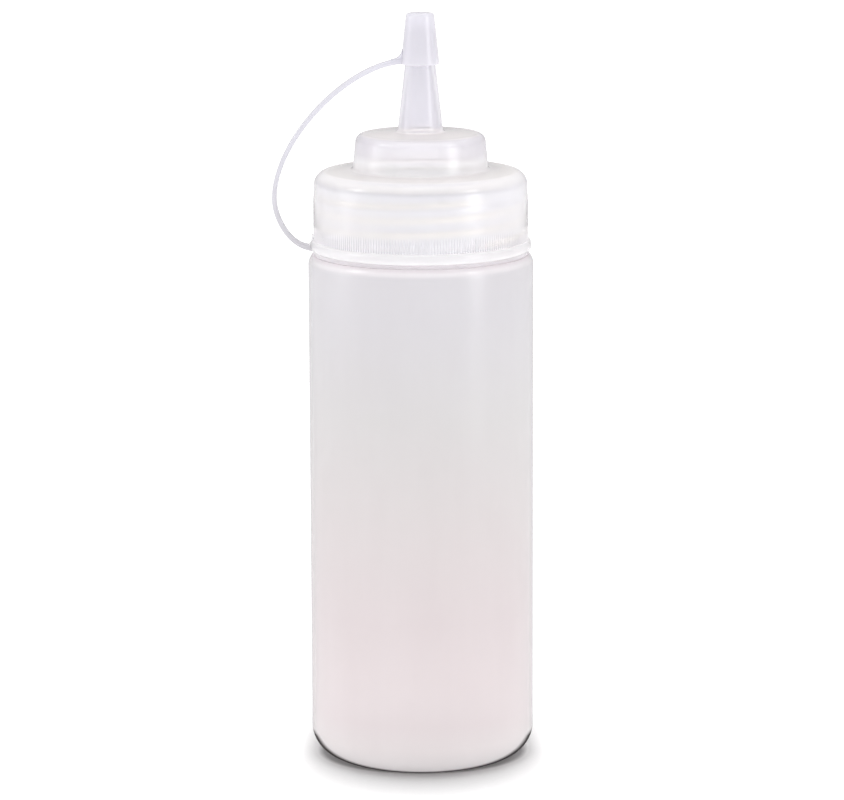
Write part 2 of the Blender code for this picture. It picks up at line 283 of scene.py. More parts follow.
def arc(centre_r, centre_z, radius, start_deg, end_deg, steps):
    """Profile points along an arc, both ends included."""
    angles = [math.radians(start_deg + (end_deg - start_deg) * i / steps) for i in range(steps + 1)]
    return [(centre_r + radius * math.cos(a), centre_z + radius * math.sin(a)) for a in angles]


def even(start, end, step):
    """Profile points along a straight line, about a step apart, without its ends."""
    a = Vector(start)
    b = Vector(end)
    count = max(1, round((b - a).length / step))
    return [tuple(a.lerp(b, i / count)) for i in range(1, count)]


def ridge(angles, z, start_z, start_deg, turns):
    """How far a helical ridge stands off its wall, at each angle, at one height."""
    turned = np.mod(np.degrees(angles) - start_deg, 360.0)
    height = np.zeros(len(angles))
    for lap in range(math.ceil(turns) + 1):
        total = turned + 360.0 * lap
        off_centre = np.abs(z - (start_z + PITCH * total / 360.0))
        flank = np.clip((THREAD_ROOT / 2 - off_centre) / ((THREAD_ROOT - THREAD_CREST) / 2), 0, 1)
        to_end = np.minimum(total, 360.0 * turns - total)
        fade = np.clip(to_end / THREAD_FADE_DEG, 0, 1)
        height = np.maximum(height, THREAD_HEIGHT * flank * fade)
    return height


def lathe(name, profile, columns, closed, reach=None):
    """Turn (r, z) points about Z. reach(angles, r, z) gives each row's own radii."""
    angles = np.linspace(0, 2 * math.pi, columns, endpoint=False)
    verts = []
    rows = []
    for r, z in profile:
        if r == 0.0:
            rows.append([len(verts)] * columns)
            verts.append((0.0, 0.0, z))
            continue
        radii = np.full(columns, r) if reach is None else reach(angles, r, z)
        rows.append(list(range(len(verts), len(verts) + columns)))
        verts += zip(radii * np.cos(angles), radii * np.sin(angles), [z] * columns)
    faces = []
    pairs = list(zip(rows[:-1], rows[1:]))
    if closed:
        pairs.append((rows[-1], rows[0]))
    for upper, lower in pairs:
        for i in range(columns):
            k = (i + 1) % columns
            corners = (upper[i], upper[k], lower[k], lower[i])
            faces.append(tuple(dict.fromkeys(corners)))
    mesh = bpy.data.meshes.new(name)
    mesh.from_pydata([tuple(map(float, v)) for v in verts], [], faces)
    return finished(name, mesh)


def finished(name, mesh, sharp_deg=34.0):
    """A shown object from a mesh: faces out, smooth, with its real edges sharp."""
    bm = bmesh.new()
    bm.from_mesh(mesh)
    bmesh.ops.recalc_face_normals(bm, faces=bm.faces)
    bm.to_mesh(mesh)
    bm.free()
    mesh.shade_smooth()
    mesh.set_sharp_from_angle(angle=math.radians(sharp_deg))
    obj = bpy.data.objects.new(name, mesh)
    bpy.context.scene.collection.objects.link(obj)
    return obj


def bottle_profile():
    """Down the outside from the rim, under the base, then up the inside."""
    shoulder_r = BODY_R - SHOULDER_ROUND_R
    climb = math.degrees(math.asin((SHOULDER_TOP - SHOULDER_ROUND_Z) / SHOULDER_ROUND_R))
    neck_inner = NECK_R - NECK_WALL
    inner_r = BODY_R - BODY_WALL
    inner_corner = BASE_CORNER_R - BODY_WALL
    inner_round = SHOULDER_ROUND_R - BODY_WALL
    floor = BASE_RECESS + BASE_THICKNESS
    lip = NECK_FILLET / 2
    outside = arc(NECK_R - lip, NECK_TOP - lip, lip, 90, 0, 4)
    fillet = arc(NECK_R + NECK_FILLET, SHOULDER_TOP + NECK_FILLET, NECK_FILLET, 180, 270, 5)
    outside += even(outside[-1], fillet[0], THREAD_ROW) + fillet
    outside += arc(shoulder_r, SHOULDER_ROUND_Z, SHOULDER_ROUND_R, climb, 0, 8)
    corner = arc(BODY_R - BASE_CORNER_R, BASE_CORNER_R, BASE_CORNER_R, 0, -90, 14)
    outside += even(outside[-1], corner[0], BODY_ROW) + corner
    outside.append((BASE_FOOT_R, 0.0))
    outside += arc(BASE_RECESS_R, BASE_RECESS * 1.5, BASE_RECESS / 2, -30, -90, 3)
    outside += even(outside[-1], (0.0, BASE_RECESS), BASE_ROW)
    outside.append((0.0, BASE_RECESS))
    inside = [(0.0, floor)]
    inside += arc(inner_r - inner_corner, floor + inner_corner, inner_corner, -90, 0, 10)
    round_over = arc(shoulder_r, SHOULDER_ROUND_Z, inner_round, 0, climb, 5)
    inside += even(inside[-1], round_over[0], BODY_INNER_ROW) + round_over
    inside.append((neck_inner, SHOULDER_TOP - BODY_WALL * 0.9))
    inside += arc(neck_inner + lip, NECK_TOP - lip, lip, 180, 90, 4)
    return outside, inside


def bottle_shell():
    """The bottle's wall, with the thread on its neck and a parting line down each side."""
    outside, inside = bottle_profile()
    outer_body = BODY_R - SHOULDER_ROUND_R

    def reach(angles, r, z):
        radii = np.full(len(angles), r)
        if abs(r - NECK_R) < SAME_WALL:
            radii += ridge(angles, z, **NECK_THREAD)
        if r > outer_body and z > BASE_CORNER_R / 2:
            past_line = np.mod(angles, math.pi)
            from_line = np.minimum(past_line, math.pi - past_line)
            share = np.clip(1 - np.degrees(from_line) / (2 * PARTING_LINE_DEG), 0, 1)
            off_inner_wall = abs(r - (BODY_R - BODY_WALL)) > BODY_WALL / 2
            radii += PARTING_LINE_HEIGHT * share * off_inner_wall
        return radii

    return lathe("bottle_shell", outside + inside, BOTTLE_COLUMNS, True, reach)


def pinch_seam():
    """The pinched-off seam of the blown tube, a low ridge across the base panel."""
    stations = 24
    corners = 7
    bm = bmesh.new()
    rings = []
    for i in range(stations + 1):
        along = 2 * i / stations - 1
        x = PINCH_HALF_LENGTH * along
        share = max(0.05, 1 - abs(along) ** 6)
        ring = []
        for k in range(corners):
            turn = math.pi * k / (corners - 1)
            y = PINCH_HALF_WIDTH * share * math.cos(turn)
            z = BASE_RECESS + PINCH_SUNK - PINCH_HEIGHT * share * math.sin(turn)
            ring.append(bm.verts.new((x, y, z)))
        rings.append(ring)
    for a, b in zip(rings[:-1], rings[1:]):
        for k in range(corners):
            m = (k + 1) % corners
            bm.faces.new((a[k], a[m], b[m], b[k]))
    bm.faces.new(rings[0])
    bm.faces.new(rings[-1])
    mesh = bpy.data.meshes.new("base_pinch_seam")
    bm.to_mesh(mesh)
    bm.free()
    return finished("base_pinch_seam", mesh)


def nozzle_r(z):
    """The cone nozzle's outer radius at a height."""
    share = (NOZZLE_TIP - z) / (NOZZLE_TIP - DRUM_TOP)
    return NOZZLE_TIP_R + (NOZZLE_BASE_R - NOZZLE_TIP_R) * share


def bead_underside(r):
    """Height of the tether ring's underside at a radius."""
    bulge = (r - RING_INNER_R) / (RING_R - RING_INNER_R)
    along = bulge ** (1 / BEAD_FULLNESS)
    return RING_CREST_Z - (RING_CREST_Z - RING_BOTTOM) * math.sqrt(1 - along * along)


def lid_outside():
    """From the orifice's edge over the nozzle, drum, shelf and skirt, down to the foot."""
    foot_z = DRUM_TOP + DRUM_RISE
    shelf_root = SHELF_TOP + SHELF_RISE + SHELF_ROOT_FILLET
    points = [(ORIFICE_R, NOZZLE_TIP)]
    points += arc(NOZZLE_TIP_R - NOZZLE_EDGE_R, NOZZLE_TIP - NOZZLE_EDGE_R, NOZZLE_EDGE_R, 90, 6, 3)
    fillet = arc(nozzle_r(foot_z) + NOZZLE_FILLET, foot_z + NOZZLE_FILLET, NOZZLE_FILLET, 187, 268, 6)
    points += even(points[-1], fillet[0], NOZZLE_ROW) + fillet
    points += arc(DRUM_TOP_R - DRUM_EDGE_R, DRUM_TOP - DRUM_EDGE_R, DRUM_EDGE_R, 88, 3, 10)
    root = arc(DRUM_BASE_R + SHELF_ROOT_FILLET, shelf_root, SHELF_ROOT_FILLET, 180, 268, 4)
    points += even(points[-1], root[0], DRUM_ROW) + root
    points += arc(SKIRT_R - SKIRT_EDGE_R, SHELF_TOP - SKIRT_EDGE_R, SKIRT_EDGE_R, 87, 0, 14)
    for i in range(RIB_BAND_RAMP_STEPS + 1):
        share = i / RIB_BAND_RAMP_STEPS
        swell = share * share * (3 - 2 * share)
        r = SKIRT_R + (RIB_BAND_R - SKIRT_R) * swell
        points.append((r, RIB_BAND_TOP + RIB_BAND_RAMP * (1 - share)))
    points += even(points[-1], (RIB_BAND_R, RING_TOP + RING_GAP), SKIRT_ROW)
    points.append((RIB_BAND_R, RING_TOP + RING_GAP))
    points.append((RING_INNER_R - GROOVE_GAP, RING_TOP + RING_GAP))
    points.append((RING_INNER_R - GROOVE_GAP, RING_BOTTOM - RING_GAP))
    for share in (0.0, 0.35, 0.7, 1.0):
        r = RING_INNER_R + (RIB_BAND_R - RING_INNER_R) * share
        points.append((r, bead_underside(r) - RING_GAP))
    points.append((RIB_BAND_R, LID_FOOT - FOOT_DROP + LIP_EDGE))
    points.append((RIB_BAND_R - LIP_EDGE, LID_FOOT - FOOT_DROP))
    return points


def lid_inside():
    """From the foot up inside the skirt, under the shelf, into the drum and up the bore."""
    under_shelf = SHELF_TOP - SHELF_THICKNESS
    round_r = LID_INNER_ROUND_R
    points = [(SKIRT_INNER_R, LID_FOOT - FOOT_DROP)]
    corner = arc(SKIRT_INNER_R - round_r, under_shelf - round_r, round_r, 0, 90, 4)
    points += even(points[-1], corner[0], THREAD_ROW) + corner
    drum_r = DRUM_BASE_R - DRUM_WALL
    points += arc(drum_r + round_r, under_shelf + round_r, round_r, -90, -180, 4)
    inner_top = DRUM_TOP - DRUM_WALL
    dome = arc(DRUM_TOP_R - DRUM_EDGE_R, DRUM_TOP - DRUM_EDGE_R, DRUM_EDGE_R - DRUM_WALL, 0, 90, 4)
    points += even(points[-1], dome[0], DRUM_INNER_ROW) + dome
    bore_r = nozzle_r(inner_top) - NOZZLE_WALL
    points += arc(bore_r + round_r, inner_top + round_r, round_r, -90, -174, 4)
    points += even(points[-1], (ORIFICE_R, NOZZLE_TIP - round_r), NOZZLE_ROW)
    points.append((ORIFICE_R, NOZZLE_TIP - round_r))
    return points


def lid_shell():
    """The lid, with ribs that grow shallower upwards and a thread inside the skirt."""
    band_foot = RING_TOP + RING_GAP

    def reach(angles, r, z):
        radii = np.full(len(angles), r)
        if abs(r - RIB_BAND_R) < SAME_WALL and band_foot <= z <= RIB_BAND_TOP:
            radii[1::2] -= RIB_DEPTH * (1 - RIB_FADE * (z - band_foot) / (RIB_BAND_TOP - band_foot))
        if abs(r - SKIRT_INNER_R) < SAME_WALL:
            radii -= ridge(angles, z, **LID_THREAD)
        return radii

    return lathe("lid_shell", lid_outside() + lid_inside(), LID_COLUMNS, True, reach)


def washer_ring():
    """A flat ring with rounded edges."""
    edge = WASHER_EDGE_R
    inner = WASHER_INNER_R
    outer = WASHER_HIGH.x
    low = WASHER_LOW.z
    high = WASHER_HIGH.z
    profile = arc(outer - edge, high - edge, edge, 90, 0, 3)
    profile += arc(outer - edge, low + edge, edge, 0, -90, 3)
    profile += arc(inner + edge, low + edge, edge, -90, -180, 3)
    profile += arc(inner + edge, high - edge, edge, 180, 90, 3)
    return lathe("washer_disc", profile, BOTTLE_COLUMNS, True)


def ring_bead():
    """The tether's ring: flat inside, where it sits in its groove, and round outside."""
    depth = RING_R - RING_INNER_R
    upper = RING_TOP - RING_CREST_Z
    lower = RING_CREST_Z - RING_BOTTOM
    steps = 16
    profile = []
    for i in range(steps + 1):
        turn = math.radians(90 - 180 * i / steps)
        bulge = 0.0 if i in (0, steps) else math.cos(turn) ** BEAD_FULLNESS
        height = upper if turn > 0 else lower
        profile.append((RING_INNER_R + depth * bulge, RING_CREST_Z + height * math.sin(turn)))
    return lathe("ring_bead", profile, BOTTLE_COLUMNS, True)


def cap_cone():
    """The tip cap: a cone closed at its top, with a bore that clears the nozzle."""
    inner_top = CAP_TOP - CAP_END_THICKNESS
    lean = math.degrees(math.atan((CAP_RIM_R - CAP_TOP_R) / (CAP_TOP - CAP_RIM)))
    edge_z = CAP_TOP - CAP_CROWN - CAP_EDGE_R
    bore = nozzle_r(CAP_RIM) + CAP_CLEARANCE
    bore_top = nozzle_r(inner_top) + CAP_CLEARANCE
    profile = [(0.0, CAP_TOP), ((CAP_TOP_R - CAP_EDGE_R) / 2, CAP_TOP - CAP_CROWN / 4)]
    profile += arc(CAP_TOP_R - CAP_EDGE_R, edge_z, CAP_EDGE_R, 84, lean, 8)
    rim = arc(CAP_RIM_R - CAP_RIM_EDGE_R, CAP_RIM + CAP_RIM_EDGE_R, CAP_RIM_EDGE_R, lean, -90, 5)
    profile += even(profile[-1], rim[0], CAP_ROW) + rim
    profile.append((bore + CAP_LEAD_IN, CAP_RIM))
    profile.append((bore, CAP_RIM + CAP_LEAD_IN_HEIGHT))
    profile += even(profile[-1], (bore_top, inner_top), CAP_INNER_ROW)
    profile.append((bore_top, inner_top))
    profile.append((0.0, inner_top))
    return lathe("cap_cone", profile, CAP_COLUMNS, False)


def bezier(points, t):
    """The point at t on a cubic Bezier curve."""
    a, b, c, d = points
    s = 1.0 - t
    return a * s**3 + b * 3 * s * s * t + c * 3 * s * t * t + d * t**3


def strap_midline(samples=300):
    """Points (x, z) along the strap's middle, from the ring to the cap."""
    ring_deg = math.radians(STRAP_DROP_AT_RING_DEG)
    cap_deg = math.radians(STRAP_DROP_AT_CAP_DEG)
    from_ring, down, up, to_cap = STRAP_HANDLES
    leave_ring = Vector((-math.cos(ring_deg), math.sin(ring_deg)))
    leave_cap = Vector((-math.cos(cap_deg), -math.sin(cap_deg)))
    low = (
        STRAP_AT_RING,
        STRAP_AT_RING + leave_ring * from_ring,
        STRAP_LEFTMOST + Vector((0.0, -down)),
        STRAP_LEFTMOST,
    )
    high = (
        STRAP_LEFTMOST,
        STRAP_LEFTMOST + Vector((0.0, up)),
        STRAP_AT_CAP + leave_cap * to_cap,
        STRAP_AT_CAP,
    )
    points = [bezier(low, i / samples) for i in range(samples)]
    return points + [bezier(high, i / samples) for i in range(samples + 1)]


def travelled(points):
    """Distance along a polyline at each of its points."""
    steps = [(b - a).length for a, b in zip(points[:-1], points[1:])]
    return np.concatenate(([0.0], np.cumsum(steps)))


def station(points, lengths, distance):
    """The point and direction at a distance along the strap, straight on past its ends."""
    xs = np.array([p.x for p in points])
    zs = np.array([p.y for p in points])
    inside = min(max(distance, 0.0), lengths[-1])
    here = Vector((np.interp(inside, lengths, xs), np.interp(inside, lengths, zs)))
    low = max(0.0, inside - DIRECTION_REACH)
    high = min(lengths[-1], inside + DIRECTION_REACH)
    before = Vector((np.interp(low, lengths, xs), np.interp(low, lengths, zs)))
    after = Vector((np.interp(high, lengths, xs), np.interp(high, lengths, zs)))
    direction = (after - before).normalized()
    return here + direction * (distance - inside), direction


def rounded_section(width, thickness, corner):
    """Points (y, out) round a rectangle with round corners."""
    steps = 4
    points = []
    for quarter in range(4):
        for i in range(steps + 1):
            turn = math.pi / 2 * (quarter + i / steps)
            side_y = 1 if quarter in (0, 3) else -1
            side_out = 1 if quarter in (0, 1) else -1
            points.append((
                side_y * (width / 2 - corner) + corner * math.cos(turn),
                side_out * (thickness / 2 - corner) + corner * math.sin(turn),
            ))
    return points


def strap_size(distance, length):
    """Width and thickness along the strap, which widens into the ring and the cap."""
    at_ring = max(0.0, 1 - distance / RING_FLARE["length"]) ** 2
    at_cap = max(0.0, 1 - (length - distance) / CAP_FLARE["length"]) ** 2
    wider = 1 + RING_FLARE["width"] * at_ring + CAP_FLARE["width"] * at_cap
    thicker = 1 + RING_FLARE["thickness"] * at_ring + CAP_FLARE["thickness"] * at_cap
    return STRAP_WIDTH * wider, STRAP_THICKNESS * thicker


def gate_dent(point, out):
    """The gate's trimmed stub: a small nick in the strap's outer face."""
    near = max(0.0, 1 - (point - GATE_MARK).length / GATE_MARK_R)
    return -GATE_MARK_DEPTH * near if out > 0 else 0.0


def strap_piece(name, points, lengths, start, end):
    """A length of strap, open at both ends, where it meets its neighbours."""
    verts = []
    faces = []
    count = 0
    for i in range(STRAP_STATIONS + 1):
        distance = start + (end - start) * i / STRAP_STATIONS
        point, direction = station(points, lengths, distance)
        outward = Vector((-direction.y, direction.x))
        width, thickness = strap_size(distance, lengths[-1])
        section = rounded_section(width, thickness, STRAP_CORNER_R)
        count = len(section)
        for y, out in section:
            place = point + outward * out
            place = place + outward * gate_dent(place, out)
            verts.append((place.x, y, place.y))
    for i in range(STRAP_STATIONS):
        for k in range(count):
            m = (k + 1) % count
            faces.append((i * count + k, i * count + m, (i + 1) * count + m, (i + 1) * count + k))
    mesh = bpy.data.meshes.new(name)
    mesh.from_pydata(verts, [], faces)
    return finished(name, mesh)


def web(name, outline, width, edge):
    """A flat web in the plane of the strap, with rounded edges."""
    bm = bmesh.new()
    near = [bm.verts.new((x, -width / 2, z)) for x, z in outline]
    far = [bm.verts.new((x, width / 2, z)) for x, z in outline]
    bm.faces.new(near)
    bm.faces.new(far[::-1])
    count = len(outline)
    for i in range(count):
        k = (i + 1) % count
        bm.faces.new((near[k], near[i], far[i], far[k]))
    bmesh.ops.recalc_face_normals(bm, faces=bm.faces)
    rims = [e for e in bm.edges if abs(e.verts[0].co.y - e.verts[1].co.y) < width / 2]
    bmesh.ops.bevel(bm, geom=rims, offset=edge, segments=3, affect="EDGES", clamp_overlap=True)
    mesh = bpy.data.meshes.new(name)
    bm.to_mesh(mesh)
    bm.free()
    return finished(name, mesh)


def ring_web():
    """The web that stands on the ring behind the strap's foot and sweeps down into it."""
    wall = -(RIB_BAND_R + GROOVE_GAP / 3)
    top = RING_TOP + RING_WEB_HEIGHT
    edge = wall - RING_WEB_TOP_THICKNESS
    steps = 5
    outline = [(wall, RING_CREST_Z), (wall, top), (edge, top)]
    for i in range(1, steps + 1):
        share = i / steps
        outline.append((edge - RING_WEB_SPREAD * share**2, top - RING_WEB_DROP * share))
    outline.append((wall, RING_CREST_Z - RING_WEB_SUNK))
    return web("ring_web", outline, STRAP_WIDTH * 0.9, 0.15 * MM)


def cap_web():
    """The web that rounds the corner between the strap and the cap's side."""
    top_of_strap = STRAP_AT_CAP.y + STRAP_THICKNESS * 0.4
    centre_x = -CAP_RIM_R - CAP_WEB_FILLET + CAP_WEB_SUNK
    outline = arc(centre_x, top_of_strap + CAP_WEB_FILLET, CAP_WEB_FILLET, -98, -2, 8)
    inside = -(nozzle_r(CAP_RIM) + CAP_CLEARANCE + GROOVE_GAP)
    outline.append((inside, outline[-1][1]))
    outline.append((inside, CAP_RIM + CAP_WEB_FOOT_INSIDE))
    outline.append((outline[0][0], CAP_RIM + CAP_WEB_FOOT_OUTSIDE))
    return web("cap_web", outline, STRAP_WIDTH * 0.8, 0.2 * MM)


# ---------------------------------------------------------------- materials


class Nodes:
    """A short way to write a node tree."""

    def __init__(self, tree):
        self.tree = tree
        self.tree.nodes.clear()

    def add(self, kind, **values):
        """A new node, with values for its inputs or its settings."""
        node = self.tree.nodes.new(kind)
        for key, value in values.items():
            if key in node.inputs:
                self.put(node.inputs[key], value)
            else:
                setattr(node, key, value)
        return node

    def put(self, socket, value):
        """Link a socket to an input, or set the input to a plain value."""
        if isinstance(value, bpy.types.NodeSocket):
            self.tree.links.new(value, socket)
        else:
            socket.default_value = value

    def maths(self, operation, a, b=0.0):
        node = self.add("ShaderNodeMath", operation=operation)
        self.put(node.inputs[0], a)
        self.put(node.inputs[1], b)
        return node.outputs[0]

    def blend(self, factor, a, b, how="MIX"):
        node = self.add("ShaderNodeMix", data_type="RGBA", blend_type=how)
        self.put(node.inputs[0], factor)
        self.put(node.inputs[6], a)
        self.put(node.inputs[7], b)
        return node.outputs[2]

    def span(self, value, low, high, to_low, to_high):
        """A value moved from one range to another, and held at its ends."""
        node = self.add("ShaderNodeMapRange", clamp=True)
        for socket, number in zip(node.inputs, (value, low, high, to_low, to_high)):
            self.put(socket, number)
        return node.outputs[0]

    def noise(self, place, scale, detail=3.0, stretch=(1.0, 1.0, 1.0)):
        """Noise at a place. A stretch below 1 draws it out along that axis."""
        moved = self.add("ShaderNodeMapping")
        moved.inputs["Scale"].default_value = stretch
        self.put(moved.inputs["Vector"], place)
        node = self.add("ShaderNodeTexNoise", Scale=scale, Detail=detail)
        self.put(node.inputs["Vector"], moved.outputs[0])
        return node.outputs["Fac"]

    def by_height(self, height, tones):
        """A colour that runs through (height, red, green, blue) stops."""
        low = tones[0][0]
        high = tones[-1][0]
        ramp = self.add("ShaderNodeValToRGB")
        self.put(ramp.inputs["Fac"], self.span(height, low, high, 0.0, 1.0))
        stops = ramp.color_ramp.elements
        stops[0].color = linear(*tones[0][1:])
        stops[1].color = linear(*tones[-1][1:])
        for z, *rgb in tones[1:-1]:
            stops.new((z - low) / (high - low)).color = linear(*rgb)
        return ramp.outputs["Color"]

    def radius(self, split):
        """Distance from the Z axis, from a Separate XYZ node."""
        across = self.maths("MULTIPLY", split.outputs["X"], split.outputs["X"])
        along = self.maths("MULTIPLY", split.outputs["Y"], split.outputs["Y"])
        return self.maths("SQRT", self.maths("ADD", across, along))

    def shade(self, factor, a, b):
        node = self.add("ShaderNodeMixShader")
        self.put(node.inputs[0], factor)
        self.put(node.inputs[1], a)
        self.put(node.inputs[2], b)
        return node.outputs[0]


def linear(red, green, blue):
    """A linear colour from 0-255 display values."""
    out = []
    for value in (red, green, blue):
        c = value / 255.0
        out.append(c / 12.92 if c <= 0.04045 else ((c + 0.055) / 1.055) ** 2.4)
    return (*out, 1.0)


def mottled(n, place, colour, amount):
    """A colour that wanders a little, in clouds and in upright streaks."""
    clouds = n.noise(place, CLOUDS, 4.0, (1.0, 1.0, 0.45))
    streaks = n.noise(place, STREAKS, 2.0, (1.0, 1.0, 0.12))
    wander = n.maths("ADD", n.maths("MULTIPLY", clouds, 0.7), n.maths("MULTIPLY", streaks, 0.3))
    share = n.span(wander, 0.35, 0.65, 0.0, amount)
    return n.blend(share, colour, linear(*MOTTLE_TONE), "MULTIPLY")


def warmed(n, split, colour, warm):
    """The colour above a height, one tone on the wall and another on what stands off it."""
    wide = n.span(n.radius(split), warm["radius"], warm["radius"] + 0.4 * MM, 0.0, 1.0)
    high = n.span(split.outputs["Z"], warm["from_z"], warm["from_z"] + 0.5 * MM, 0.0, 1.0)
    return n.blend(high, colour, n.blend(wide, warm["wall"], warm["thread"]))


def shaded_outline(n, colour, facing, up, edge):
    """The colour, with a painted shade where an upright wall turns away from the viewer."""
    upright = n.span(n.maths("ABSOLUTE", up), 0.3, 0.95, 1.0, 0.0)
    rim = n.maths("MULTIPLY", n.maths("POWER", facing, FACING_POWER), upright)
    return n.blend(n.maths("MULTIPLY", rim, edge), colour, linear(*OUTLINE_SHADE_TONE))


def moulded_surface(n, place, grain):
    """The normal of a moulded surface: a fine grain over long shallow waves."""
    fine = n.noise(place, GRAIN, 2.0)
    wave = n.noise(place, WAVES, 1.0, (1.0, 1.0, 0.4))
    relief = n.maths("ADD", n.maths("MULTIPLY", fine, grain), n.maths("MULTIPLY", wave, 4.0 * grain))
    bump = n.add("ShaderNodeBump", Strength=1.0, Distance=1.0)
    n.put(bump.inputs["Height"], n.maths("MULTIPLY", relief, MM))
    return bump.outputs["Normal"]


def surface(n, kind, colour, normal, rough=None, **values):
    """A shader node of a kind, with its colour, its normal and perhaps its roughness."""
    node = n.add(kind, **values)
    n.put(node.inputs["Base Color" if kind == "ShaderNodeBsdfPrincipled" else "Color"], colour)
    n.put(node.inputs["Normal"], normal)
    if rough is not None:
        n.put(node.inputs["Roughness"], rough)
    return node


def translucent_wall(n, colour, normal, rough, facing, clear, haze, glow):
    """Skin that scatters light, a wall that passes it on, and a sheen over both."""
    skin = surface(n, "ShaderNodeBsdfPrincipled", colour, normal, rough, IOR=PLASTIC_IOR)
    skin.inputs["Specular IOR Level"].default_value = 0.0
    soak = surface(n, "ShaderNodeBsdfTranslucent", colour, normal)
    through = surface(n, "ShaderNodeBsdfRefraction", colour, normal, IOR=WALL_IOR, Roughness=haze)
    seen_through = n.span(facing, 0.0, 0.8, clear, clear / 6)
    inner = n.shade(seen_through, soak.outputs[0], through.outputs[0])
    towards_edge = n.maths("POWER", facing, 3.0)
    sheen_colour = n.blend(towards_edge, linear(*SHEEN_TONE), linear(*EDGE_SHEEN_TONE))
    gloss = surface(n, "ShaderNodeBsdfGlossy", sheen_colour, normal, rough)
    sheen = n.add("ShaderNodeFresnel", IOR=PLASTIC_IOR)
    n.put(sheen.inputs["Normal"], normal)
    body = n.shade(glow, skin.outputs[0], inner)
    return n.shade(sheen.outputs[0], body, gloss.outputs[0])


def painted_foot_shade(n, coated, facing, up, height, foot):
    """The plastic with a painted dark shade line where the underside of its foot turns out of sight.
    """
    under = n.span(up, -0.04, -0.2, 0.0, foot)
    low = n.span(height, BASE_CORNER_R, BASE_CORNER_R + 1 * MM, 1.0, 0.0)
    turned = n.span(facing, 0.66, 0.8, 0.0, 1.0)
    line = n.maths("MULTIPLY", turned, n.maths("MULTIPLY", under, low))
    dark = n.add("ShaderNodeBsdfDiffuse", Color=linear(*FOOT_SHADE_TONE))
    return n.shade(line, coated, dark.outputs[0])


def polyethylene(name, tones, clear, haze, glow, roughness, edge, mottle, grain, warm=None, foot=0.0):
    """Translucent polyethylene.

    tones are its colours at rising heights; some of their bands are painted light and
    painted shade. clear is how much is seen through it and haze how blurred that is,
    glow how much light soaks through, edge how dark the painted shade at its outline is,
    mottle how far its colour wanders and grain the depth of its moulded texture. warm
    gives the height above which the wall has its own tone, and the radius beyond which
    what stands off the wall has another, for the neck and its thread, which pick up the
    warm light inside the lid. foot is how dark the painted shade line is under the base's
    rounded corner.
    Light is scattered where it enters a wall and leaves it freely on the other side.
    """
    mat = bpy.data.materials.new(name)
    mat.use_nodes = True
    n = Nodes(mat.node_tree)
    place = n.add("ShaderNodeTexCoord").outputs["Object"]
    split = n.add("ShaderNodeSeparateXYZ")
    n.put(split.inputs[0], place)
    height = split.outputs["Z"]
    facing = n.add("ShaderNodeLayerWeight", Blend=0.5).outputs["Facing"]
    geometry = n.add("ShaderNodeNewGeometry")
    outwards = n.add("ShaderNodeSeparateXYZ")
    n.put(outwards.inputs[0], geometry.outputs["Normal"])
    up = outwards.outputs["Z"]
    colour = mottled(n, place, n.by_height(height, tones), mottle)
    if warm is not None:
        colour = warmed(n, split, colour, warm)
    # Painted shade at the outline, where upright walls turn away from the viewer
    colour = shaded_outline(n, colour, facing, up, edge)
    rough = n.span(n.noise(place, WEAR, 3.0), 0.3, 0.7, roughness - 0.04, roughness + 0.05)
    normal = moulded_surface(n, place, grain)
    coated = translucent_wall(n, colour, normal, rough, facing, clear, haze, glow)
    # Painted shade line under the foot, where it meets the floor
    entering = painted_foot_shade(n, coated, facing, up, height, foot)
    leaving = n.add("ShaderNodeBsdfTransparent")
    out = n.add("ShaderNodeOutputMaterial")
    surface_out = n.shade(geometry.outputs["Backfacing"], entering, leaving.outputs[0])
    n.put(out.inputs["Surface"], surface_out)
    return mat


def foam(name):
    """White foamed polyethylene: matt, with fine closed cells."""
    mat = bpy.data.materials.new(name)
    mat.use_nodes = True
    n = Nodes(mat.node_tree)
    place = n.add("ShaderNodeTexCoord").outputs["Object"]
    cells = n.add("ShaderNodeTexVoronoi", Scale=FOAM_CELLS)
    n.put(cells.inputs["Vector"], place)
    tone = n.span(n.noise(place, FOAM_PATCHES), 0.3, 0.7, 0.0, 1.0)
    bump = n.add("ShaderNodeBump", Strength=0.6, Distance=0.1 * MM)
    n.put(bump.inputs["Height"], cells.outputs["Distance"])
    skin = n.add("ShaderNodeBsdfPrincipled", Roughness=0.75)
    n.put(skin.inputs["Base Color"], n.blend(tone, linear(236, 236, 230), linear(246, 245, 241)))
    n.put(skin.inputs["Normal"], bump.outputs["Normal"])
    out = n.add("ShaderNodeOutputMaterial")
    n.put(out.inputs["Surface"], skin.outputs[0])
    return mat


